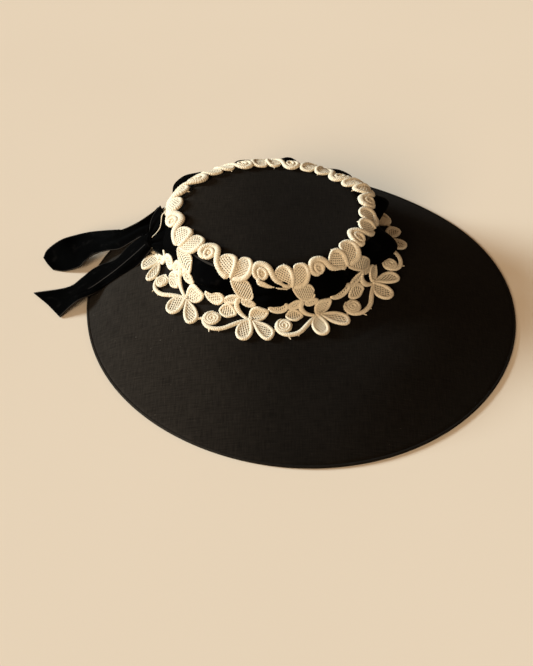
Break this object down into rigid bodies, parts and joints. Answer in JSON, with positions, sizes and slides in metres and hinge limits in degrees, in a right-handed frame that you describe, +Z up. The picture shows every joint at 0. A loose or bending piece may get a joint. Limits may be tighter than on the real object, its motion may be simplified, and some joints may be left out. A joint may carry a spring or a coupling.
{
  "type": "picture hat",
  "caption": "Wide-brimmed picture hat of black woven cloth: low flat crown, sloping brim with a rolled edge, cream corded lace round the crown and a velvet ribbon tied at the side.",
  "frame": {"origin": "bottom centre of the whole hat's box, on the surface that it rests on", "axes": "+Z up along the crown's axis, -Y towards the wide front of the brim, -X towards the tied side"},
  "size_m": [0.405, 0.4106, 0.0818],
  "materials": {
    "hat_cloth": "matte plain-woven black cloth over a stiff foundation",
    "edge_cloth": "matte black cloth, rolled and bound edge",
    "lace_thread": "cream satin-stitched corded lace",
    "velvet": "black velvet with a soft nap"
  },
  "bodies": {
    "root": {"crown": "hat_cloth", "brim": "hat_cloth", "edge_binding": "edge_cloth", "lace_band": "lace_thread", "ribbon_band": "velvet", "ribbon_knot": "velvet", "ribbon_tail_upper": "velvet", "ribbon_tail_lower": "velvet"}
  },
  "joints": []
}
